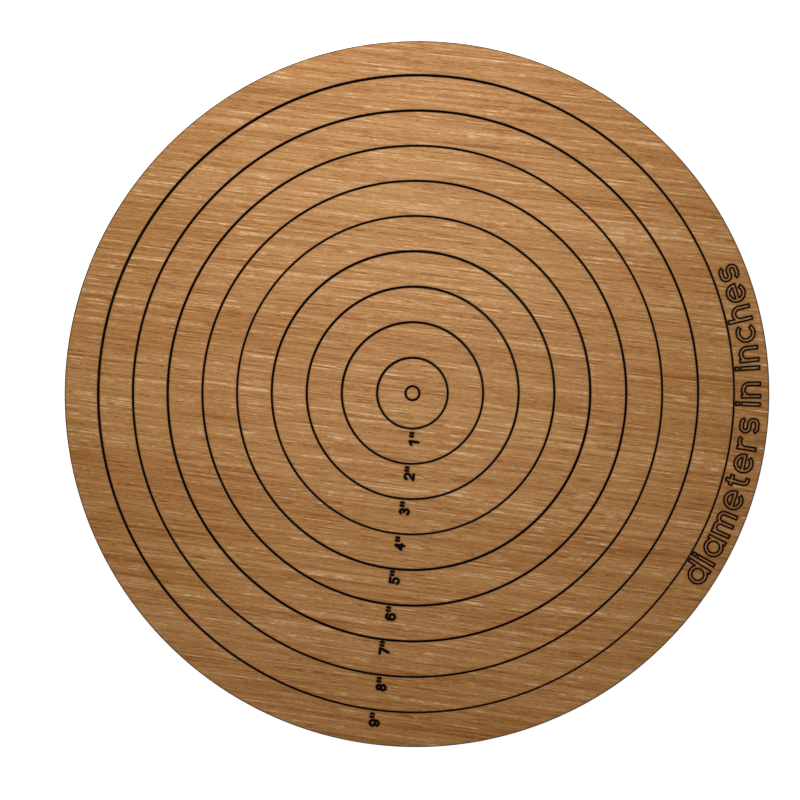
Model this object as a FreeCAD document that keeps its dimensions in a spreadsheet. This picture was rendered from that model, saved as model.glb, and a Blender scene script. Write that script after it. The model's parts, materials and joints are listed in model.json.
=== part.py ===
import FreeCAD, Part
import math
import os

import Sketcher

# A nested circle template: concentric circles, one inch apart in diameter, cut right through a
# thin three-veneer wooden board, so that the set is ten rings and discs and one centre plug.
# Frame: the origin is the centre of the underside and +Z points up through the figured face.
# The figures run along -X and read towards the centre. The rim legend is centred on -Y.

# Driving dimensions, in millimetres and degrees.
DIMENSIONS = {
    "inch_length": 25.4,
    "board_thickness": 3.0,
    "veneer_thickness": 0.6,
    "kerf_at_face": 0.60,
    "kerf_at_back": 0.30,
    "plug_diameter": 5.0,
    "engraving_depth": 0.30,
    "figure_height": 4.0,
    "figure_width": 2.8,
    "figure_stroke": 0.90,
    "figure_baseline": 4.85,
    "mark_height": 1.8,
    "mark_pitch": 1.1,
    "mark_gap": 0.2,
    "legend_radius": 123.6,
    "legend_bearing": -88.5,
    "legend_x_height": 6.6,
    "legend_ascender": 8.5,
    "legend_stem": 1.2,
    "legend_letter_gap": 1.75,
    "legend_word_gap": 4.6,
    "score_width": 0.50,
}

# Each piece from the rim inwards: its name, the circle it starts at and the circle it ends at.
# Circles are numbered by their diameter in inches, and circle 0 is the centre plug's.
# The next three say how the piece lies in its neighbour outside it: how far it has slid, in
# which direction, and how far it has turned. The last is how far its figure stands from the
# circle inside it, which was set by eye and differs from ring to ring.
PIECES = [
    ("ring_9_to_10in", 9, 10, 0.0, 0, 0.0, 1.15),
    ("ring_8_to_9in", 8, 9, 0.22, -125, 0.3, 0.85),
    ("ring_7_to_8in", 7, 8, 0.12, -140, -0.4, 0.60),
    ("ring_6_to_7in", 6, 7, 0.11, -80, 0.3, 0.75),
    ("ring_5_to_6in", 5, 6, 0.0, 0, -0.3, 0.60),
    ("ring_4_to_5in", 4, 5, 0.07, 55, 0.3, 1.0),
    ("ring_3_to_4in", 3, 4, 0.12, -170, 0.0, 0.95),
    ("ring_2_to_3in", 2, 3, 0.07, -155, 0.0, 0.95),
    ("ring_1_to_2in", 1, 2, 0.09, -150, 0.0, 1.15),
    ("disc_1in", 0, 1, 0.07, -125, 1.2, None),
    ("centre_plug", None, 0, 0.0, 0, 0.0, None),
]

# The three veneers of the board, as the heights of their undersides and tops.
PLIES = [
    ("back_ply", "0", "veneer_thickness"),
    ("core_ply", "veneer_thickness", "board_thickness - veneer_thickness"),
    ("face_ply", "board_thickness - veneer_thickness", "board_thickness"),
]

LEGEND = "diameters in inches"

# How far a cutting tool reaches above the face that it cuts.
TOOL_OVERRUN = 0.5


doc = FreeCAD.newDocument("circle_template")
sheet = doc.addObject("Spreadsheet::Sheet", "Dimensions")


def add_dimension(row, alias, value):
    """One sheet row: the dimension's name, and its value under that name."""
    sheet.set(f"A{row}", alias)
    sheet.set(f"B{row}", str(value))
    sheet.setAlias(f"B{row}", alias)


def fill_sheet():
    rows = dict(DIMENSIONS)
    for name, _, _, slid, heading, turned, clearance in PIECES:
        rows[f"{name}_slid"] = slid
        rows[f"{name}_heading"] = heading
        rows[f"{name}_turned"] = turned
        if clearance is not None:
            rows[f"{name}_clearance"] = clearance
    for row, (alias, value) in enumerate(rows.items(), start=1):
        add_dimension(row, alias, value)
    doc.recompute()


def size(alias):
    """A driving dimension's value, read back from the sheet."""
    return float(getattr(sheet, alias))


def in_sheet(text):
    """The same formula with each dimension's name pointing into the sheet."""
    return " ".join(f"Dimensions.{word}" if word in DIMENSIONS else word for word in text.split())


def edge_radius(circle, side, height):
    """Formula for a cut edge's radius: half a kerf inside (-) or outside (+) its circle.

    The kerf tapers, because the beam enters at the face and narrows towards the back.
    """
    nominal = f"inch_length / 2 * {circle}" if circle else "plug_diameter / 2"
    kerf = f"kerf_at_back + ( kerf_at_face - kerf_at_back ) * ( {height} ) / board_thickness"
    return f"{nominal} {side} ( {kerf} ) / 2"


def origin_plane(body, role):
    return next(item for item in body.Origin.OriginFeatures if item.Role == role)


def bind_corner(sketch, line, axis, formula):
    """Holds a line's start point at a formula's distance from the origin along one axis."""
    if formula == "0":
        other_axis = {"X": -2, "Y": -1}[axis]
        sketch.addConstraint(Sketcher.Constraint("PointOnObject", line, 1, other_axis))
        return
    index = sketch.addConstraint(Sketcher.Constraint(f"Distance{axis}", -1, 1, line, 1, 1.0))
    label = f"corner_{line}_{axis.lower()}"
    sketch.renameConstraint(index, label)
    sketch.setExpression(f"Constraints.{label}", in_sheet(formula))


def profile_sketch(body, corners):
    """The four-cornered section of a ply, as (radius, height) formulas in order round it."""
    sketch = body.newObject("Sketcher::SketchObject", "section")
    sketch.AttachmentSupport = (origin_plane(body, "XZ_Plane"), [""])
    sketch.MapMode = "FlatFace"
    rough = [FreeCAD.Vector(x, y, 0) for x, y in ((1, 0), (2, 0), (2, 1), (1, 1))]
    for line in range(4):
        sketch.addGeometry(Part.LineSegment(rough[line], rough[(line + 1) % 4]), False)
    for line in range(4):
        sketch.addConstraint(Sketcher.Constraint("Coincident", line, 2, (line + 1) % 4, 1))
    for line, (radius, height) in enumerate(corners):
        bind_corner(sketch, line, "X", radius)
        bind_corner(sketch, line, "Y", height)
    return sketch


def ply_body(label, inner, outer, low, high):
    """One veneer of one piece: its tapered section turned once round the axis."""
    inside = [edge_radius(inner, "+", height) if inner is not None else "0" for height in (low, high)]
    outside = [edge_radius(outer, "-", height) for height in (low, high)]
    body = doc.addObject("PartDesign::Body", label)
    corners = [(inside[0], low), (outside[0], low), (outside[1], high), (inside[1], high)]
    sketch = profile_sketch(body, corners)
    turned = body.newObject("PartDesign::Revolution", "turned")
    turned.Profile = sketch
    turned.ReferenceAxis = (sketch, ["V_Axis"])
    turned.Angle = 360
    return body


# Strokes. A stroke is a line or an arc along the middle of a groove.


def line(x0, y0, x1, y1):
    return Part.makeLine(FreeCAD.Vector(x0, y0, 0), FreeCAD.Vector(x1, y1, 0))


def arc(x, y, radius, start, end):
    """An arc about (x, y) between two angles in degrees, taken anticlockwise."""
    up = FreeCAD.Vector(0, 0, 1)
    return Part.makeCircle(radius, FreeCAD.Vector(x, y, 0), up, start, end)


def ring_face(centre, inner, outer):
    """The flat region between two circles."""
    whole, hole = [Part.Face(Part.Wire(Part.makeCircle(radius, centre))) for radius in (outer, inner)]
    return whole.cut(hole).Faces[0]


def slot_face(edge, width):
    """The flat region that a round tool of this width covers along a stroke."""
    half = width / 2
    curved = isinstance(edge.Curve, Part.Circle)
    if curved and edge.isClosed():
        return ring_face(edge.Curve.Center, edge.Curve.Radius - half, edge.Curve.Radius + half)
    ends = [edge.valueAt(edge.FirstParameter), edge.valueAt(edge.LastParameter)]
    middle = edge.valueAt((edge.FirstParameter + edge.LastParameter) / 2)
    up = FreeCAD.Vector(0, 0, 1)
    along = [edge.tangentAt(edge.FirstParameter), edge.tangentAt(edge.LastParameter)]
    left = [up.cross(direction) * half for direction in along]
    caps = [ends[0] - along[0] * half, ends[1] + along[1] * half]
    if curved:
        radial = (middle - edge.Curve.Center).normalize() * half
        inward = 1 if left[0].dot(edge.Curve.Center - ends[0]) > 0 else -1
        left_middle = middle - radial * inward
        right_middle = middle + radial * inward
        left_side = Part.Arc(ends[0] + left[0], left_middle, ends[1] + left[1])
        right_side = Part.Arc(ends[1] - left[1], right_middle, ends[0] - left[0])
    else:
        left_side = Part.LineSegment(ends[0] + left[0], ends[1] + left[1])
        right_side = Part.LineSegment(ends[1] - left[1], ends[0] - left[0])
    end_cap = Part.Arc(ends[1] + left[1], caps[1], ends[1] - left[1])
    start_cap = Part.Arc(ends[0] - left[0], caps[0], ends[0] + left[0])
    outline = [left_side, end_cap, right_side, start_cap]
    return Part.Face(Part.Wire([curve.toShape() for curve in outline]))


def groove(strokes, width):
    """A cutting tool as deep as the engraving, along all of a glyph's strokes."""
    floor = size("board_thickness") - size("engraving_depth")
    rise = FreeCAD.Vector(0, 0, size("engraving_depth") + TOOL_OVERRUN)
    prisms = [slot_face(stroke, width).extrude(rise) for stroke in strokes]
    tool = prisms[0].multiFuse(prisms[1:]).removeSplitter() if prisms[1:] else prisms[0]
    tool.translate(FreeCAD.Vector(0, 0, floor))
    return tool


# Figures. Each is drawn with its strokes' middles in a box that starts at (0, 0).

# Their proportions, as shares of the box, and where their open bowls start and end, in degrees.
LOWER_BOWL_SHARE = 0.28
ONE_STEM_SHARE = 0.6
ONE_FLAG_SHARE = 0.24
FOUR_STEM_SHARE = 0.75
FOUR_BAR_SHARE = 0.3
FIVE_SPINE_SHARE = 0.2
SEVEN_FOOT_SHARE = 0.42
TWO_BOWL = (-35, 165)
THREE_OPENING = 150
FIVE_BOWL = (-150, 132)
SIX_HOOK_START = 35
NINE_HOOK_START = -145

# How far the two bowls of a 3 or an 8 run into each other.
BOWL_LAP = 0.05


def on_circle(x, y, radius, angle):
    """The point at an angle in degrees on a circle about (x, y)."""
    return x + radius * math.cos(math.radians(angle)), y + radius * math.sin(math.radians(angle))


def figure_strokes(digit):
    """The strokes of one figure, in a box as wide and as tall as the strokes' middles."""
    wide = size("figure_width") - size("figure_stroke")
    tall = size("figure_height") - size("figure_stroke")
    half = wide / 2
    top = tall - half
    lower = tall * LOWER_BOWL_SHARE
    upper = tall / 2 - lower + BOWL_LAP
    one_stem = wide * ONE_STEM_SHARE
    four_stem = wide * FOUR_STEM_SHARE
    four_bar = tall * FOUR_BAR_SHARE
    five_spine = wide * FIVE_SPINE_SHARE
    shapes = {
        1: [
            line(one_stem, 0, one_stem, tall),
            line(0, tall - tall * ONE_FLAG_SHARE, one_stem, tall),
        ],
        2: [
            arc(half, top, half, *TWO_BOWL),
            line(*on_circle(half, top, half, TWO_BOWL[0]), 0, 0),
            line(0, 0, wide, 0),
        ],
        3: [
            arc(half, tall - upper, upper, -90, THREE_OPENING),
            arc(half, lower, lower, -THREE_OPENING, 90),
        ],
        4: [
            line(four_stem, 0, four_stem, tall),
            line(four_stem, tall, 0, four_bar),
            line(0, four_bar, wide, four_bar),
        ],
        5: [
            line(wide, tall, five_spine, tall),
            line(five_spine, tall, *on_circle(half, half, half, FIVE_BOWL[1])),
            arc(half, half, half, *FIVE_BOWL),
        ],
        6: [
            arc(half, half, half, 0, 360),
            line(0, half, 0, top),
            arc(half, top, half, SIX_HOOK_START, 180),
        ],
        7: [
            line(0, tall, wide, tall),
            line(wide, tall, wide * SEVEN_FOOT_SHARE, 0),
        ],
        8: [
            arc(half, lower, lower, 0, 360),
            arc(half, tall - upper, upper, 0, 360),
        ],
        9: [
            arc(half, top, half, 0, 360),
            line(wide, top, wide, half),
            arc(half, half, half, NINE_HOOK_START, 0),
        ],
    }
    return shapes[digit]


def label_tool(name, number):
    """The figure and its inch mark, just outside its circle and reading towards the centre."""
    stroke = size("figure_stroke")
    first_mark = size("figure_width") + size("mark_gap")
    mark_top = size("figure_height") - stroke
    mark_foot = mark_top - size("mark_height") + stroke
    marks = [first_mark, first_mark + size("mark_pitch")]
    strokes = figure_strokes(number) + [line(x, mark_foot, x, mark_top) for x in marks]
    tool = groove(strokes, stroke)
    right = size("inch_length") / 2 * number + size(f"{name}_clearance")
    left = right + marks[-1] + stroke
    tool.translate(FreeCAD.Vector(stroke / 2 - left, stroke / 2 - size("figure_baseline"), 0))
    return tool


# Legend letters. Each is an outline: upright bars and round bands, joined, whose edge is scored.

# Their proportions, as shares of the x height, and where their open bowls end, in degrees.
ARCH_SHARE = 0.42
M_ARCH_SHARE = 0.36
C_WIDTH_SHARE = 0.9
R_WIDTH_SHARE = 0.67
S_WIDTH_SHARE = 0.8
BOWL_OPENING = 42
R_ARM_END = 55
S_TIP = 20

# How many stems wide or tall the details of a letter are.
STEM_OVERHANG = 0.1
T_STEM_PLACE = 0.9
T_FOOT_RADIUS = 1.6
T_WIDTH = 3.1


def bar_face(x0, y0, x1, y1):
    return Part.makePlane(x1 - x0, y1 - y0, FreeCAD.Vector(x0, y0, 0))


def band_face(x, y, outer, start, end):
    """A round band one stem wide, between two angles in degrees, taken anticlockwise."""
    centre = FreeCAD.Vector(x, y, 0)
    inner = outer - size("legend_stem")
    if end - start >= 360:
        return ring_face(centre, inner, outer)
    outside = arc(x, y, outer, start, end)
    inside = arc(x, y, inner, start, end)
    first = Part.makeLine(outside.valueAt(outside.FirstParameter), inside.valueAt(inside.FirstParameter))
    last = Part.makeLine(outside.valueAt(outside.LastParameter), inside.valueAt(inside.LastParameter))
    return Part.Face(Part.Wire([outside, last, inside, first]))


def letter_faces(letter):
    """The bars and bands of one lower-case letter, and its width."""
    stem = size("legend_stem")
    tall = size("legend_x_height")
    rise = size("legend_ascender")
    bowl = tall / 2
    arch = tall * ARCH_SHARE
    back = tall + stem * STEM_OVERHANG
    first_stem = bar_face(0, 0, stem, tall)
    round_bowl = band_face(bowl, bowl, bowl, 0, 360)
    if letter == "a":
        return [round_bowl, bar_face(back - stem, 0, back, tall)], back
    if letter == "c":
        return [band_face(bowl, bowl, bowl, BOWL_OPENING, 360 - BOWL_OPENING)], tall * C_WIDTH_SHARE
    if letter == "d":
        return [round_bowl, bar_face(back - stem, 0, back, rise)], back
    if letter == "e":
        rim = math.asin(stem / 2 / bowl)
        reach = bowl + bowl * math.cos(rim)
        crossbar = bar_face(stem / 2, bowl - stem / 2, reach, bowl + stem / 2)
        open_bowl = band_face(bowl, bowl, bowl, -math.degrees(rim), 360 - BOWL_OPENING)
        return [open_bowl, crossbar], tall
    if letter == "h":
        legs = [bar_face(0, 0, stem, rise), bar_face(2 * arch - stem, 0, 2 * arch, tall - arch)]
        return legs + [band_face(arch, tall - arch, arch, 0, 180)], 2 * arch
    if letter == "i":
        return [first_stem, bar_face(0, rise - stem, stem, rise)], stem
    if letter == "m":
        tight = tall * M_ARCH_SHARE
        step = 2 * tight - stem
        legs = [bar_face(step * leg, 0, step * leg + stem, tall - tight) for leg in (1, 2)]
        arches = [band_face(tight + step * leg, tall - tight, tight, 0, 180) for leg in (0, 1)]
        return [first_stem] + legs + arches, 2 * step + stem
    if letter == "n":
        legs = [first_stem, bar_face(2 * arch - stem, 0, 2 * arch, tall - arch)]
        return legs + [band_face(arch, tall - arch, arch, 0, 180)], 2 * arch
    if letter == "r":
        return [first_stem, band_face(arch, tall - arch, arch, R_ARM_END, 180)], tall * R_WIDTH_SHARE
    if letter == "s":
        width = tall * S_WIDTH_SHARE
        curl = (tall + stem) / 4
        left, right = curl, width - curl
        bands = [
            band_face(left, tall - curl, curl, 90, 270),
            band_face(right, curl, curl, -90, 90),
            band_face(right, tall - curl, curl, S_TIP, 90),
            band_face(left, curl, curl, 180 + S_TIP, 270),
        ]
        heights = (0, tall / 2 - stem / 2, tall - stem)
        return bands + [bar_face(left, low, right, low + stem) for low in heights], width
    if letter == "t":
        left = stem * T_STEM_PLACE
        foot = stem * T_FOOT_RADIUS
        width = stem * T_WIDTH
        bars = [
            bar_face(left, foot, left + stem, rise - stem / 2),
            bar_face(0, tall - stem, width, tall),
            bar_face(left + foot, 0, width, stem),
        ]
        return bars + [band_face(left + foot, foot, foot, 180, 270)], width
    raise ValueError(f"no legend letter {letter!r}")


def legend_tool():
    """The scored legend: each letter's outline, standing on an arc with its top to the centre."""
    radius = size("legend_radius")
    cursor = 0.0
    letters = []
    for letter in LEGEND:
        if letter == " ":
            cursor += size("legend_word_gap") - size("legend_letter_gap")
            continue
        faces, width = letter_faces(letter)
        joined = faces[0].multiFuse(faces[1:]).removeSplitter() if faces[1:] else faces[0]
        tool = groove(joined.Edges, size("score_width"))
        letters.append((tool, width, cursor + width / 2))
        cursor += width + size("legend_letter_gap")
    run = cursor - size("legend_letter_gap")
    for tool, width, middle in letters:
        tool.translate(FreeCAD.Vector(-width / 2, -radius, 0))
        turn = size("legend_bearing") + 90 + math.degrees((middle - run / 2) / radius)
        tool.rotate(FreeCAD.Vector(0, 0, 0), FreeCAD.Vector(0, 0, 1), turn)
    return Part.makeCompound([tool for tool, _, _ in letters])


def engraved(blank, label, name, number):
    """The face veneer with its figure, and on the rim ring its legend, cut into it."""
    tool = doc.addObject("Part::Feature", f"{name}_engraving")
    tools = [label_tool(name, number)]
    if number == PIECES[0][1]:
        tools.append(legend_tool())
    tool.Shape = Part.makeCompound(tools)
    cut = doc.addObject("Part::Cut", label)
    cut.Base = blank
    cut.Tool = tool
    return cut


def seat(sub_part, name, outside):
    """Lays a sub-part in the piece around it: a small slide and a small turn from that piece."""
    if outside is None:
        return
    for axis, function in (("x", "cos"), ("y", "sin")):
        base = f"{outside.Name}.Placement.Base.{axis}"
        slide = f"Dimensions.{name}_slid * 1 mm * {function}(Dimensions.{name}_heading)"
        sub_part.setExpression(f"Placement.Base.{axis}", f"{base} + {slide}")
    around = f"{outside.Name}.Placement.Rotation.Angle"
    sub_part.setExpression("Placement.Rotation.Angle", f"{around} + Dimensions.{name}_turned * 1 deg")


def build():
    """Every ply of every piece, from the rim inwards, as {node name: document object}."""
    nodes = {}
    for ply, low, high in PLIES:
        outside = None
        for name, inner, outer, _, _, _, _ in PIECES:
            label = f"{name}_{ply}"
            figured = ply == "face_ply" and bool(inner)
            sub_part = ply_body(f"{label}_blank" if figured else label, inner, outer, low, high)
            if figured:
                sub_part = engraved(sub_part, label, name, inner)
            sub_part.Label = label
            seat(sub_part, name, outside)
            nodes[label] = sub_part
            outside = sub_part
    doc.recompute()
    return nodes


def check(nodes):
    """Stops with a message if any object failed, or a veneer isn't one sound solid."""
    for item in doc.Objects:
        if "Invalid" in item.State or "Error" in item.State:
            raise RuntimeError(f"{item.Label} failed: {item.State}")
    for label, sub_part in nodes.items():
        shape = sub_part.Shape
        if shape.isNull() or not shape.isValid() or len(shape.Solids) != 1:
            raise RuntimeError(f"{label} isn't one sound solid")
        if sub_part.TypeId == "Part::Cut" and shape.Volume >= sub_part.Base.Shape.Volume:
            raise RuntimeError(f"{label} has no engraving")


def write(nodes):
    os.makedirs("parts", exist_ok=True)
    for label, sub_part in nodes.items():
        sub_part.Shape.exportStep(f"parts/{label}.step")
        box = sub_part.Shape.BoundBox
        extent = f"{box.XLength:.2f} x {box.YLength:.2f} x {box.ZLength:.2f} mm"
        print(f"{label}: {sub_part.Shape.Volume:.1f} mm3, {extent}")


fill_sheet()
nodes = build()
check(nodes)
write(nodes)
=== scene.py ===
import json
import math

import bmesh
import bpy
import numpy as np
from mathutils import Matrix, Vector
from mathutils.bvhtree import BVHTree


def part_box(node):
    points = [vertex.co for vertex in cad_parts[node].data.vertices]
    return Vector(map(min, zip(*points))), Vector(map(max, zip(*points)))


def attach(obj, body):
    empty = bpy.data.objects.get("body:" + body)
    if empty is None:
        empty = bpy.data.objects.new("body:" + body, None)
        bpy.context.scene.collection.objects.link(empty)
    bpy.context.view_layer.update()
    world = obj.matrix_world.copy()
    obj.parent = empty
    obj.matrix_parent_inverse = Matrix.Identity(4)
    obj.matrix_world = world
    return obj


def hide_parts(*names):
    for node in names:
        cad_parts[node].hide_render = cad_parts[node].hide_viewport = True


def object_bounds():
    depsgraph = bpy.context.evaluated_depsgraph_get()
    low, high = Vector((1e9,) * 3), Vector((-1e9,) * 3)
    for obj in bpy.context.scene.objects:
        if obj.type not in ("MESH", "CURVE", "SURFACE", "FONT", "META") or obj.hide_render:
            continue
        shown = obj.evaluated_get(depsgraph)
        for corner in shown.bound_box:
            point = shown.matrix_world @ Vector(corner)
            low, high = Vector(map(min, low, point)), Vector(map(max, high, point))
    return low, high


# The looks of a nested circle template: eleven laser-cut pieces of thin three-veneer board.
# Every CAD ply is replaced by a finer turned mesh with eased edges, in the same place and of the
# same size, and the figures and the legend are cut into the face veneers down to CAD's own floors.
# Lengths are in metres, and those whose names end in _mm or _MM are in millimetres.

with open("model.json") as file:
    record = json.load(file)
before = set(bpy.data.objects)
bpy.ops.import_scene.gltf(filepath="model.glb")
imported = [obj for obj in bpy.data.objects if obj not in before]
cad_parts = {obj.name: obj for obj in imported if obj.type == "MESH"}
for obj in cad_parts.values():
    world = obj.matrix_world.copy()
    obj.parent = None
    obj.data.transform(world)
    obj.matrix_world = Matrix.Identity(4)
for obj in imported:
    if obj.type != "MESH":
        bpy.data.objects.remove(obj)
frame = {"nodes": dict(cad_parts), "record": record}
cad_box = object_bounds()

MM = 0.001
BODIES = frame["record"]["behaviour"]["bodies"]

# Mesh fineness, and how far the laser and handling have eased the edges. A row of the whole width
# leaves a flat top undivided.
COLUMN_WIDTH = 0.8 * MM
ROW_WIDTH = 0.8 * MM
WHOLE_ROW = 1.0
FEWEST_COLUMNS = 72
FINE_CUTS = 2
FINE_REACH = 1.2 * MM
ARRIS = 0.08 * MM
ARRIS_STEPS = 4
GLUE_LINE = 0.04 * MM
GROOVE_OVERRUN = 0.4 * MM
LEVEL_TOLERANCE = 0.02 * MM
EDGE_TOLERANCE = 0.1 * MM
FLOOR_WELD = 1e-3 * MM
POLE_WELD = 1e-4 * MM
FLAT_ENOUGH = 0.9
SHARP_EDGE = math.radians(35)

# A figure lies within this distance of its piece's -X axis, and its top stands this far below
# that axis. The two innermost pieces have no figure, and lie turned by this much.
FIGURE_BAND = 6 * MM
FIGURE_TOP = 0.85 * MM
UNFIGURED_TURN = math.radians(1.4)
# A groove further off than this isn't looked for.
NO_GROOVE_MM = 20.0

# The laser's kerf at the face and at the back, the even spacing of the circles that it cuts, and
# the radius of the centre hole's own circle. The rim is burnt wider than the other edges.
FACE_KERF_MM = 0.60
BACK_KERF_MM = 0.30
CIRCLES = len(BODIES) - 1
CUT_PITCH_MM = (cad_box[1].x / MM + BACK_KERF_MM / 2) / CIRCLES
PLUG_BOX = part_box("centre_plug_back_ply")
PLUG_RADIUS_MM = ((PLUG_BOX[1].x - PLUG_BOX[0].x) / MM + BACK_KERF_MM) / 2
RIM_START_MM = (CIRCLES - 0.5) * CUT_PITCH_MM
RIM_BURN_MM = 0.14
GRAIN_BEARING = math.radians(-89.7)


# What CAD says


def points(node):
    """A CAD node's vertices."""
    vertices = frame["nodes"][node].data.vertices
    found = np.empty(len(vertices) * 3, np.float32)
    vertices.foreach_get("co", found)
    return found.reshape(-1, 3).astype(float)


def circle_through(flat):
    """The centre and radius of the circle that best fits some points in a plane."""
    rows = np.column_stack([2 * flat, np.ones(len(flat))])
    x, y, rest = np.linalg.lstsq(rows, (flat**2).sum(axis=1), rcond=None)[0]
    return np.array([x, y]), math.sqrt(rest + x * x + y * y)


def section(node):
    """A ply's centre, and its height, inner radius and outer radius at its underside and its top."""
    found = points(node)
    levels = []
    for height in (found[:, 2].min(), found[:, 2].max()):
        flat = found[np.abs(found[:, 2] - height) < LEVEL_TOLERANCE, :2]
        reach = np.linalg.norm(flat - (flat.min(axis=0) + flat.max(axis=0)) / 2, axis=1)
        centre, outer = circle_through(flat[reach > reach.max() - EDGE_TOLERANCE])
        reach = np.linalg.norm(flat - centre, axis=1)
        inner = reach[reach < reach.min() + EDGE_TOLERANCE].mean()
        solid = inner < EDGE_TOLERANCE or inner > outer - EDGE_TOLERANCE
        levels.append((height, 0.0 if solid else inner, outer))
    return centre, levels


def groove_floors(node):
    """A face ply's groove floors as a mesh of their own, or None."""
    mesh = frame["nodes"][node].data
    top = points(node)[:, 2].max()
    floors = bmesh.new()
    floors.from_mesh(mesh)
    below = top - LEVEL_TOLERANCE
    others = [f for f in floors.faces if f.normal.z < FLAT_ENOUGH or f.calc_center_median().z > below]
    bmesh.ops.delete(floors, geom=others, context="FACES")
    bmesh.ops.remove_doubles(floors, verts=floors.verts[:], dist=FLOOR_WELD)
    if not floors.faces:
        floors.free()
        return None
    return floors


def lie_of(centre, floors):
    """How far a piece lies turned, from where its figure's top stands."""
    if floors is None:
        return UNFIGURED_TURN
    spots = [v.co - Vector((*centre, 0)) for v in floors.verts]
    figure = [spot for spot in spots if spot.x < 0 and abs(spot.y) < FIGURE_BAND]
    top = max(figure, key=lambda spot: spot.y)
    return (top.y + FIGURE_TOP) / top.x


# Meshes


def eased_corner(corner, before, after, reach, steps):
    """Points that round a corner of a section off, between two directions that leave it."""
    corner, before, after = np.array(corner), np.array(before), np.array(after)
    first, last = corner + before * reach, corner + after * reach
    shares = np.linspace(0, 1, steps)
    return [first * (1 - t) ** 2 + corner * 2 * t * (1 - t) + last * t**2 for t in shares]


def section_outline(levels, top_eased, foot_eased, top_row):
    """A ply's section as (radius, height) points, round from the outer foot."""
    (low, inner_low, outer_low), (high, inner_high, outer_high) = levels
    top_ease, top_steps = (ARRIS, ARRIS_STEPS) if top_eased else (GLUE_LINE, 2)
    foot_ease, foot_steps = (ARRIS, ARRIS_STEPS) if foot_eased else (GLUE_LINE, 2)
    inward, outward, up, down = (-1, 0), (1, 0), (0, 1), (0, -1)
    outline = eased_corner((outer_low, low), inward, up, foot_ease, foot_steps)
    outline += eased_corner((outer_high, high), down, inward, top_ease, top_steps)
    start = outer_high - top_ease
    if inner_high:
        end = inner_high + top_ease
        rows = max(1, round((start - end) / top_row))
        outline += [np.array([radius, high]) for radius in np.linspace(start, end, rows + 1)[1:-1]]
        outline += eased_corner((inner_high, high), outward, down, top_ease, top_steps)
        outline += eased_corner((inner_low, low), up, outward, foot_ease, foot_steps)
    else:
        outline += [np.array([0.0, high]), np.array([0.0, low])]
    return outline


def turned(centre, outline):
    """A mesh turned from a section round the upright axis through a centre."""
    widest = max(radius for radius, _ in outline)
    columns = max(FEWEST_COLUMNS, round(math.tau * widest / COLUMN_WIDTH))
    mesh = bmesh.new()
    rings = []
    for column in range(columns):
        angle = math.tau * column / columns
        across = Vector((math.cos(angle), math.sin(angle), 0))
        base = Vector((*centre, 0))
        spots = [base + across * radius + Vector((0, 0, height)) for radius, height in outline]
        rings.append([mesh.verts.new(spot) for spot in spots])
    count = len(outline)
    for column, ring in enumerate(rings):
        beside = rings[(column + 1) % columns]
        for row in range(count):
            after = (row + 1) % count
            if outline[row][0] or outline[after][0]:
                mesh.faces.new([ring[row], beside[row], beside[after], ring[after]])
    bmesh.ops.remove_doubles(mesh, verts=mesh.verts[:], dist=POLE_WELD)
    bmesh.ops.recalc_face_normals(mesh, faces=mesh.faces[:])
    return mesh


def refine_near(mesh, floors):
    """Divides a mesh's faces finely round the grooves."""
    tree = BVHTree.FromBMesh(floors)
    near = [f for f in mesh.faces if tree.find_nearest(f.calc_center_median(), FINE_REACH)[3] is not None]
    edges = {edge for face in near for edge in face.edges}
    bmesh.ops.subdivide_edges(mesh, edges=list(edges), cuts=FINE_CUTS, use_grid_fill=True)


def object_from(mesh, name):
    """A new object with this mesh."""
    data = bpy.data.meshes.new(name)
    mesh.to_mesh(data)
    made = bpy.data.objects.new(name, data)
    bpy.context.scene.collection.objects.link(made)
    return made


def groove_cutter(floors, top):
    """A cutting tool that stands on the groove floors and reaches past the top."""
    tool = floors.copy()
    raised = bmesh.ops.extrude_face_region(tool, geom=tool.faces[:])["geom"]
    upper = [item for item in raised if isinstance(item, bmesh.types.BMVert)]
    rise = top - upper[0].co.z + GROOVE_OVERRUN
    for vertex in upper:
        vertex.co.z += rise
    bmesh.ops.recalc_face_normals(tool, faces=tool.faces[:])
    return object_from(tool, "groove_cutter")


def engrave(piece, floors, top):
    """Cuts the grooves into a face veneer, the slower way where the plain way leaves nothing."""
    cutter = groove_cutter(floors, top)
    cut = piece.modifiers.new("grooves", "BOOLEAN")
    cut.operation = "DIFFERENCE"
    cut.solver = "EXACT"
    cut.object = cutter
    for self_crossing in (False, True):
        cut.use_self = self_crossing
        evaluated = piece.evaluated_get(bpy.context.evaluated_depsgraph_get())
        engraved = bpy.data.meshes.new_from_object(evaluated)
        if engraved.polygons:
            break
    piece.data = engraved
    piece.modifiers.clear()
    bpy.data.objects.remove(cutter)


def mark(piece, centre, turn, floors):
    """Stores where each point lies in its own piece, and how near to a groove, in millimetres."""
    data = piece.data
    spots = np.empty(len(data.vertices) * 3, np.float32)
    data.vertices.foreach_get("co", spots)
    spots = spots.reshape(-1, 3)
    local = (spots - [*centre, 0]) @ np.array(Matrix.Rotation(turn, 3, "Z")) / MM
    seat = data.attributes.new("seat_mm", "FLOAT_VECTOR", "POINT")
    seat.data.foreach_set("vector", local.astype(np.float32).ravel())
    nearness = np.full(len(spots), NO_GROOVE_MM, np.float32)
    if floors is not None:
        tree = BVHTree.FromBMesh(floors)
        level = next(iter(floors.verts)).co.z
        for index, spot in enumerate(spots):
            distance = tree.find_nearest(Vector((spot[0], spot[1], level)), NO_GROOVE_MM * MM)[3]
            if distance is not None:
                nearness[index] = distance / MM
    groove = data.attributes.new("groove_mm", "FLOAT", "POINT")
    groove.data.foreach_set("value", nearness)


# Materials


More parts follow.
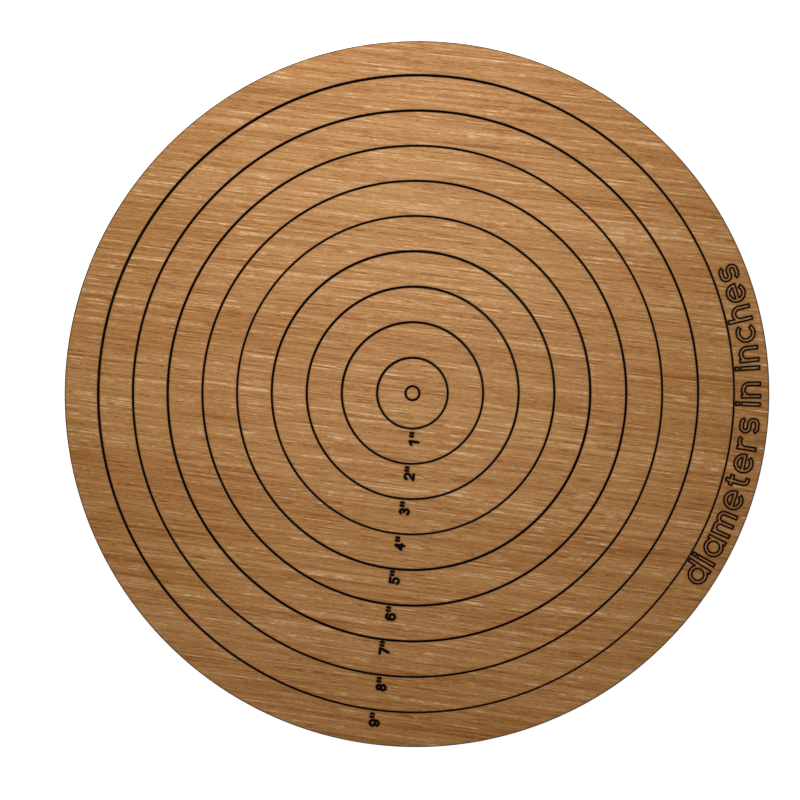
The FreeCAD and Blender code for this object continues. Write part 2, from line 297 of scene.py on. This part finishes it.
class Graph:
    """A material's node tree, built a node at a time. Values passed in may be numbers or sockets."""

    def __init__(self, name):
        self.material = bpy.data.materials.new(name)
        self.material.use_nodes = True
        self.tree = self.material.node_tree
        self.tree.nodes.clear()

    def node(self, kind, inputs=None, **settings):
        made = self.tree.nodes.new(kind)
        for setting, value in settings.items():
            setattr(made, setting, value)
        for socket, value in (inputs or {}).items():
            if isinstance(value, bpy.types.NodeSocket):
                self.tree.links.new(value, made.inputs[socket])
            else:
                made.inputs[socket].default_value = value
        return made

    def maths(self, operation, *values):
        return self.node("ShaderNodeMath", dict(enumerate(values)), operation=operation).outputs[0]

    def total(self, *values):
        running = values[0]
        for value in values[1:]:
            running = self.maths("ADD", running, value)
        return running

    def attribute(self, name, output):
        return self.node("ShaderNodeAttribute", attribute_name=name).outputs[output]

    def placed(self, vector, turn=0.0, size=(1, 1, 1), shift=(0, 0, 0)):
        """The vector turned about Z and measured in units of this size."""
        scale = [1 / length for length in size]
        inputs = {"Vector": vector, "Rotation": (0, 0, turn), "Scale": scale, "Location": shift}
        return self.node("ShaderNodeMapping", inputs, vector_type="POINT").outputs[0]

    def noise(self, vector, size, shift=0.0, detail=2.0, roughness=0.5):
        """Smooth noise about 0, with features of about this size."""
        spot = self.placed(vector, size=size, shift=(shift, shift, shift))
        inputs = {"Vector": spot, "Scale": 1.0, "Detail": detail, "Roughness": roughness}
        return self.maths("SUBTRACT", self.node("ShaderNodeTexNoise", inputs).outputs[0], 0.5)

    def ease(self, value, low, high, start=0.0, end=1.0):
        """Start below low, end above high, and a smooth way between."""
        inputs = {"Value": value, "From Min": low, "From Max": high, "To Min": start, "To Max": end}
        return self.node("ShaderNodeMapRange", inputs, interpolation_type="SMOOTHSTEP").outputs[0]

    def ramp(self, value, stops):
        """A colour that follows a value through (value, colour) stops."""
        made = self.node("ShaderNodeValToRGB", {"Fac": value})
        elements = made.color_ramp.elements
        elements[0].position, elements[1].position = stops[0][0], stops[-1][0]
        for position, _ in stops[1:-1]:
            elements.new(position)
        for element, (_, colour) in zip(elements, stops):
            element.color = (*colour, 1)
        return made.outputs[0]

    def blend(self, share, under, over):
        inputs = {0: share, 6: under, 7: over}
        return self.node("ShaderNodeMix", inputs, data_type="RGBA", clamp_factor=True).outputs[2]

    def fade(self, distance, near, far, strength):
        """This strength nearer than near, none past far, and a smooth way between."""
        return self.ease(distance, near, far, strength, 0.0)

    def finish(self, colour, roughness, height, height_mm, specular):
        """The surface: a height of 1 is raised by height_mm."""
        bump = self.node("ShaderNodeBump", {"Height": height, "Strength": 1.0, "Distance": height_mm * MM})
        inputs = {"Base Color": colour, "Roughness": roughness, "Normal": bump.outputs[0]}
        shader = self.node("ShaderNodeBsdfPrincipled", inputs)
        shader.inputs["Specular IOR Level"].default_value = specular
        output = self.node("ShaderNodeOutputMaterial")
        self.tree.links.new(shader.outputs[0], output.inputs["Surface"])
        return self.material


# A veneer's layers of noise each lie at a place of their own: its seed, their kind's shift, and one
# more step for each layer of the same kind. Burnt wood has two layers, and no seed.
SWAY_SHIFT, STEP_SHIFT, FIBRE_SHIFT, BREAK_SHIFT, FLECK_SHIFT, PATCH_SHIFT = 5, 7, 41, 48, 61, 91
BURN_SHIFT, LAYER_SHIFT = 3, 17

CHAR = (0.004, 0.003, 0.002, 1)
SCORCH = (0.070, 0.018, 0.002, 1)
SMOKE = (0.290, 0.108, 0.012, 1)

# The layers of a veneer's figure: (along, across) size in millimetres, detail, roughness, weight.
FIGURE = [
    ((320, 45), 1, 0.5, 0.30),
    ((240, 9), 3, 0.6, 0.48),
    ((110, 1.2), 3, 0.6, 1.00),
    ((35, 0.65), 2, 0.6, 0.90),
    ((1.6, 0.5), 2, 0.6, 0.75),
]
# Its fibres are long and straight, and come and go along their length: they keep this share of
# their strength where the breaks' noise is 0, and gain or lose this many times the noise.
FIBRES = ((45, 0.62), 3, 0.65)
BREAKS = ((5.0, 2.2), 2, 0.6)
FIBRE_SHARE = 0.7
FIBRE_CHANGE = 9.0
FIBRE_WEIGHT = 1.7
# Painted shade: the wood's colour darkens towards one side of the board, where the light falls off.
PAINTED_SHADE_SIDE = math.radians(-135)
PAINTED_SHADE_REACH_MM = 140.0
PAINTED_SHADE_TONE = 0.10
# The whole figure sways from side to side: (along, across, across) size, and how far.
SWAY = (170, 60, 60)
SWAY_MM = 1.6
# Glossy raised fibres, painted lighter as a painted glint, and open pores: size, where they start and end,
# and weight. They change the veneer's roughness and its relief by these amounts.
GLINT_FIBRES = ((14, 0.6), 0.10, 0.24, 0.22)
PORES = ((8, 0.6), 0.11, 0.24, -0.22)
GLINT_FIBRE_ROUGHNESS, GLINT_FIBRE_RELIEF = -0.10, 0.2
PORE_ROUGHNESS, PORE_RELIEF = 0.15, -0.5
VENEER_RELIEF_MM = 0.10
VENEER_SPECULAR = 0.5
FIGURE_TONES = [
    (0.05, (0.266, 0.082, 0.003)),
    (0.22, (0.326, 0.121, 0.016)),
    (0.37, (0.375, 0.153, 0.031)),
    (0.50, (0.418, 0.186, 0.049)),
    (0.66, (0.470, 0.229, 0.075)),
    (0.85, (0.556, 0.304, 0.127)),
    (1.00, (0.713, 0.441, 0.226)),
]

# How near to a cut or a groove the wood is smoked, scorched and burnt: where that starts to fade
# and where it ends, in millimetres, and its strength. Smoke by a cut ends at the veneer's own reach.
CUT_SMOKE = (0.1, 0.45)
GROOVE_SMOKE = (0.1, 1.5, 0.35)
CUT_SCORCH = (0.05, 0.25, 0.70)
GROOVE_SCORCH = (0.02, 0.32, 0.85)
CUT_BURN = (0.07, 0.20, 1.0)
# The burning is patchy: the patches' size, detail and roughness, and how far each edge wanders.
PATCHES = ((3, 3, 3), 3, 0.6)
CUT_WANDER_MM = 0.10
GROOVE_WANDER_MM = 0.08

# How burnt wood looks, from its blackest to its brownest, its streaks and the layers in it.
VENEER_CHAR_TONES = [
    (0.25, (0.002, 0.0015, 0.001)),
    (0.60, (0.006, 0.004, 0.003)),
    (0.90, (0.022, 0.012, 0.007)),
]
CORE_CHAR_TONES = [
    (0.20, (0.010, 0.006, 0.004)),
    (0.60, (0.044, 0.021, 0.010)),
    (0.90, (0.140, 0.070, 0.031)),
]
CHAR_STREAKS = ((0.35, 0.35, 3.0), 3, 0.6)
CHAR_LAYERS = ((6, 6, 0.25), 2)
CHAR_LAYER_WEIGHT = 0.6
CHAR_ROUGHNESS = 0.9
CHAR_RELIEF_MM = 0.06
CHAR_SPECULAR = 0.05


def cut_distance(graph, seat):
    """How far a point lies from the middle of the nearest circular cut, in millimetres."""
    parts = graph.node("ShaderNodeSeparateXYZ", {0: seat}).outputs
    flat = graph.node("ShaderNodeCombineXYZ", {0: parts[0], 1: parts[1]}).outputs[0]
    reach = graph.node("ShaderNodeVectorMath", {0: flat}, operation="LENGTH").outputs["Value"]
    circle = graph.maths("ROUND", graph.maths("DIVIDE", reach, CUT_PITCH_MM))
    nearest = graph.maths("MULTIPLY", circle, CUT_PITCH_MM)
    to_circle = graph.maths("ABSOLUTE", graph.maths("SUBTRACT", reach, nearest))
    past_disc = graph.maths("MULTIPLY", graph.maths("LESS_THAN", reach, CUT_PITCH_MM / 2), CUT_PITCH_MM)
    to_plug = graph.maths("ABSOLUTE", graph.maths("SUBTRACT", reach, PLUG_RADIUS_MM))
    on_rim = graph.maths("MULTIPLY", graph.maths("GREATER_THAN", reach, RIM_START_MM), RIM_BURN_MM)
    to_cut = graph.maths("SUBTRACT", graph.maths("ADD", to_circle, past_disc), on_rim)
    return graph.maths("MINIMUM", to_cut, to_plug)


def wood(graph, seat, grain, seed):
    """Straight-grained veneer, darkened towards one side as painted shade: its tone, about 0.5, its
    fibres, about 0, and its glint fibres, painted lighter, and its pores.
    """
    # Painted shade: the tone falls towards one side of the board.
    toward_shade = graph.node("ShaderNodeSeparateXYZ", {0: graph.placed(seat, turn=-PAINTED_SHADE_SIDE)}).outputs[0]
    tone = graph.total(0.5, graph.ease(toward_shade, 0.0, PAINTED_SHADE_REACH_MM, 0.0, -PAINTED_SHADE_TONE))
    for step, ((along, across), detail, roughness, weight) in enumerate(FIGURE):
        layer = graph.noise(grain, (along, across, across), seed + STEP_SHIFT * step, detail, roughness)
        tone = graph.total(tone, graph.maths("MULTIPLY", layer, weight))
    (along, across), detail, roughness = FIBRES
    straight = graph.noise(grain, (along, across, across), seed + FIBRE_SHIFT, detail, roughness)
    (along, across), detail, roughness = BREAKS
    breaks = graph.noise(grain, (along, across, across), seed + BREAK_SHIFT, detail, roughness)
    share = graph.maths("MULTIPLY_ADD", breaks, FIBRE_CHANGE, FIBRE_SHARE)
    fibres = graph.maths("MULTIPLY", straight, share)
    tone = graph.total(tone, graph.maths("MULTIPLY", fibres, FIBRE_WEIGHT))
    sparse = []
    # The first kind is fibres painted lighter as a painted glint, the second is darker pores.
    for step, ((along, across), low, high, weight) in enumerate((GLINT_FIBRES, PORES)):
        shift = seed + FLECK_SHIFT + STEP_SHIFT * step
        spots = graph.noise(grain, (along, across, across), shift, 1)
        sparse.append(graph.ease(spots, low, high))
        tone = graph.total(tone, graph.maths("MULTIPLY", sparse[-1], weight))
    return tone, fibres, *sparse


def veneer(name, seed, kerf_mm, smoke_reach_mm, rough):
    """A veneer with a straight grain, black at its cuts and grooves and smoked beside them."""
    graph = Graph(name)
    seat = graph.attribute("seat_mm", "Vector")
    along = graph.placed(seat, turn=-GRAIN_BEARING)
    sway = graph.maths("MULTIPLY", graph.noise(along, SWAY, seed + SWAY_SHIFT, 1), SWAY_MM)
    swayed = graph.node("ShaderNodeCombineXYZ", {1: sway}).outputs[0]
    grain = graph.node("ShaderNodeVectorMath", {0: along, 1: swayed}, operation="ADD").outputs[0]
    tone, fibres, glint_fibres, pores = wood(graph, seat, grain, seed)
    timber = graph.ramp(tone, FIGURE_TONES)
    size, detail, roughness = PATCHES
    patchy = graph.noise(seat, size, seed + PATCH_SHIFT, detail, roughness)
    to_cut = graph.maths("SUBTRACT", cut_distance(graph, seat), kerf_mm / 2)
    to_groove = graph.attribute("groove_mm", "Fac")
    near_cut = graph.maths("ADD", to_cut, graph.maths("MULTIPLY", patchy, CUT_WANDER_MM))
    near_groove = graph.maths("ADD", to_groove, graph.maths("MULTIPLY", patchy, GROOVE_WANDER_MM))
    smoke_start, smoke_strength = CUT_SMOKE
    cut_smoke = graph.fade(near_cut, smoke_start, smoke_reach_mm, smoke_strength)
    smoked = graph.maths("MAXIMUM", cut_smoke, graph.fade(near_groove, *GROOVE_SMOKE))
    colour = graph.blend(smoked, timber, SMOKE)
    colour = graph.blend(graph.fade(near_cut, *CUT_SCORCH), colour, SCORCH)
    colour = graph.blend(graph.fade(near_groove, *GROOVE_SCORCH), colour, SCORCH)
    burnt = graph.fade(near_cut, *CUT_BURN)
    colour = graph.blend(burnt, colour, CHAR)
    satin = graph.total(
        rough,
        graph.maths("MULTIPLY", glint_fibres, GLINT_FIBRE_ROUGHNESS),
        graph.maths("MULTIPLY", pores, PORE_ROUGHNESS),
    )
    relief = graph.total(
        fibres,
        graph.maths("MULTIPLY", pores, PORE_RELIEF),
        graph.maths("MULTIPLY", glint_fibres, GLINT_FIBRE_RELIEF),
    )
    roughness = graph.maths("MAXIMUM", satin, burnt)
    return graph.finish(colour, roughness, relief, VENEER_RELIEF_MM, VENEER_SPECULAR)


def char(name, tones):
    """What the laser has burnt: streaked from face to back, with the veneer's layers in it."""
    graph = Graph(name)
    seat = graph.attribute("seat_mm", "Vector")
    size, detail, roughness = CHAR_STREAKS
    burn = graph.noise(seat, size, BURN_SHIFT, detail, roughness)
    size, detail = CHAR_LAYERS
    layers = graph.noise(seat, size, LAYER_SHIFT, detail)
    tone = graph.total(0.5, burn, graph.maths("MULTIPLY", layers, CHAR_LAYER_WEIGHT))
    return graph.finish(graph.ramp(tone, tones), CHAR_ROUGHNESS, burn, CHAR_RELIEF_MM, CHAR_SPECULAR)


# The back is another sheet of veneer, smoked further from its cuts and a little rougher.
FACE_WOOD = veneer("face_veneer_wood", seed=0.0, kerf_mm=FACE_KERF_MM, smoke_reach_mm=0.9, rough=0.58)
BACK_WOOD = veneer("back_veneer_wood", seed=200.0, kerf_mm=BACK_KERF_MM, smoke_reach_mm=2.4, rough=0.60)
VENEER_CHAR = char("veneer_char", VENEER_CHAR_TONES)
CORE_CHAR = char("core_char", CORE_CHAR_TONES)

# The three veneers of the board by its node's ending: the slot, the material of its flat faces and
# of what is burnt, and whether its top and its foot are exposed.
FINISHES = {
    "face_ply": ("face_veneer", FACE_WOOD, VENEER_CHAR, True, False),
    "core_ply": ("core_veneer", CORE_CHAR, CORE_CHAR, False, False),
    "back_ply": ("back_veneer", BACK_WOOD, VENEER_CHAR, False, True),
}


def paint(piece, levels, wood_material, char_material):
    """Gives a ply's top and underside one material, and its cut edges and grooves the other."""
    lowest, highest = levels[0][0] + ARRIS, levels[1][0] - ARRIS
    piece.data.materials.clear()
    piece.data.materials.append(wood_material)
    piece.data.materials.append(char_material)
    for polygon in piece.data.polygons:
        polygon.material_index = int(lowest < polygon.center.z < highest)


def make_piece(body, nodes):
    """The three veneers of one piece, standing for its CAD plies and riding on its body."""
    face = next(node for node in nodes if node.endswith("face_ply"))
    centre, _ = section(face)
    face_floors = groove_floors(face)
    turn = lie_of(centre, face_floors)
    for node in nodes:
        ply = node.removeprefix(body + "_")
        slot, wood_material, char_material, top_eased, foot_eased = FINISHES[ply]
        _, levels = section(node)
        floors = face_floors if node == face else None
        top_row = ROW_WIDTH if floors is not None else WHOLE_ROW
        outline = section_outline(levels, top_eased, foot_eased, top_row)
        mesh = turned(centre, outline)
        if floors is not None:
            refine_near(mesh, floors)
        piece = object_from(mesh, f"{body}_{slot}")
        if floors is not None:
            engrave(piece, floors, levels[1][0])
        mark(piece, centre, turn, floors)
        paint(piece, levels, wood_material, char_material)
        piece.data.shade_smooth()
        piece.data.set_sharp_from_angle(angle=SHARP_EDGE)
        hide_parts(node)
        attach(piece, body)


for body, nodes in BODIES.items():
    make_piece(body, nodes)


# Floor, light and camera

# A wide white floor, and a dark sheet of painted shade between it and the board: how far each lies under
# the board, how far each reaches, its grey and how much it glows.
FLOOR_GAP = 0.10 * MM
FLOOR_REACH = 30.0
FLOOR_GREY = 0.9
FLOOR_GLOW = 0.9
GLOW_COLOUR = (0.95, 0.97, 1, 1)
SHADE_SHEET_GAP = 0.05 * MM
SHADE_SHEET_INSET = 1 * MM
SHADE_SHEET_GREY = 0.03
MOTTLE_SIZE = 0.2
MOTTLE_ROUGHNESS = 0.1
STAGE_ROUGHNESS = 0.8
STAGE_SIDES = 256


def stage_disc(name, reach, gap, grey, glow):
    """A plain matt disc that lies this far under the board."""
    mesh = bmesh.new()
    bmesh.ops.create_circle(mesh, cap_ends=True, segments=STAGE_SIDES, radius=reach)
    disc = object_from(mesh, name)
    disc.location.z = cad_box[0].z - gap
    graph = Graph(name)
    spot = graph.node("ShaderNodeTexCoord").outputs["Object"]
    mottle = graph.noise(spot, (MOTTLE_SIZE, MOTTLE_SIZE, MOTTLE_SIZE))
    roughness = graph.total(STAGE_ROUGHNESS, graph.maths("MULTIPLY", mottle, MOTTLE_ROUGHNESS))
    inputs = {"Base Color": (grey, grey, grey, 1), "Roughness": roughness}
    shader = graph.node("ShaderNodeBsdfPrincipled", inputs)
    shader.inputs["Emission Color"].default_value = GLOW_COLOUR
    shader.inputs["Emission Strength"].default_value = glow
    output = graph.node("ShaderNodeOutputMaterial")
    graph.tree.links.new(shader.outputs[0], output.inputs["Surface"])
    disc.data.materials.append(graph.material)


def make_floor():
    """A white floor that glows a little, and a dark sheet on it under the board: painted shade, which
    keeps the glow out of the cuts and makes them black.
    """
    stage_disc("floor", FLOOR_REACH, FLOOR_GAP, FLOOR_GREY, FLOOR_GLOW)
    # Painted shade: a dark sheet under the board, seen only through the cuts.
    stage_disc("shade_sheet", cad_box[1].x - SHADE_SHEET_INSET, SHADE_SHEET_GAP, SHADE_SHEET_GREY, 0)


# The view: turned so that "up" in the picture is this bearing, and leaning a little off the
# upright towards another bearing. Bearings are degrees anticlockwise from +X.
VIEW_UP = math.radians(7.8)
VIEW_LEAN = math.radians(5.03)
VIEW_LEAN_BEARING = math.radians(-103.9)
VIEW_DISTANCE = 0.65
VIEW_AIM = Vector((-3.46, 3.66, 0)) * MM
VIEW_LENS = 81.54
SENSOR_WIDTH = 36


def facing(back, up):
    """A rotation that looks against one direction with another one upwards."""
    right = up.cross(back).normalized()
    return Matrix((right, back.cross(right), back)).transposed().to_4x4()


def picture_axes():
    """The picture's right and up directions, laid on the board."""
    up = Vector((math.cos(VIEW_UP), math.sin(VIEW_UP), 0))
    return up.cross(Vector((0, 0, 1))), up


def make_camera():
    """The one camera, above the board and looking down on it."""
    data = bpy.data.cameras.new("camera")
    data.lens = VIEW_LENS
    data.sensor_width = SENSOR_WIDTH
    camera = bpy.data.objects.new("camera", data)
    bpy.context.scene.collection.objects.link(camera)
    sideways = Vector((math.cos(VIEW_LEAN_BEARING), math.sin(VIEW_LEAN_BEARING), 0))
    back = sideways * math.sin(VIEW_LEAN) + Vector((0, 0, math.cos(VIEW_LEAN)))
    aim = Vector((0, 0, cad_box[1].z)) + VIEW_AIM
    camera.matrix_world = Matrix.Translation(aim + back * VIEW_DISTANCE) @ facing(back, picture_axes()[1])
    bpy.context.scene.camera = camera


# The light's place by the picture's directions, its size, its power and its colour, and how
# strongly the surround lights the board in the same colour.
LIGHT_RIGHT, LIGHT_UP, LIGHT_HEIGHT = -0.020, 0.130, 0.22
LIGHT_WIDTH, LIGHT_LENGTH = 0.12, 0.45
LIGHT_COLOUR = (1.0, 0.98, 0.89)
LIGHT_POWER = 0.65
AMBIENT = 0.29


def make_light():
    """One long soft light over the board's edge at the picture's top, which the camera doesn't see."""
    right, up = picture_axes()
    data = bpy.data.lights.new("window", "AREA")
    data.shape = "ELLIPSE"
    data.size, data.size_y = LIGHT_WIDTH, LIGHT_LENGTH
    data.energy = LIGHT_POWER
    data.color = LIGHT_COLOUR
    light = bpy.data.objects.new("window", data)
    bpy.context.scene.collection.objects.link(light)
    place = right * LIGHT_RIGHT + up * LIGHT_UP + Vector((0, 0, LIGHT_HEIGHT))
    light.matrix_world = Matrix.Translation(place) @ facing(place.normalized(), up)
    light.visible_camera = False
    bpy.context.scene.view_settings.view_transform = "Standard"


def make_surround():
    """A soft surround that lights the board, and looks white itself."""
    world = bpy.data.worlds.new("surround")
    world.use_nodes = True
    tree = world.node_tree
    light = tree.nodes["Background"]
    light.inputs["Color"].default_value = (*LIGHT_COLOUR, 1)
    light.inputs["Strength"].default_value = AMBIENT
    seen = tree.nodes.new("ShaderNodeBackground")
    path = tree.nodes.new("ShaderNodeLightPath")
    either = tree.nodes.new("ShaderNodeMixShader")
    tree.links.new(path.outputs["Is Camera Ray"], either.inputs[0])
    tree.links.new(light.outputs[0], either.inputs[1])
    tree.links.new(seen.outputs[0], either.inputs[2])
    tree.links.new(either.outputs[0], tree.nodes["World Output"].inputs["Surface"])
    seen.inputs["Color"].default_value = (1, 1, 1, 1)
    bpy.context.scene.world = world


make_floor()
make_camera()
make_light()
make_surround()
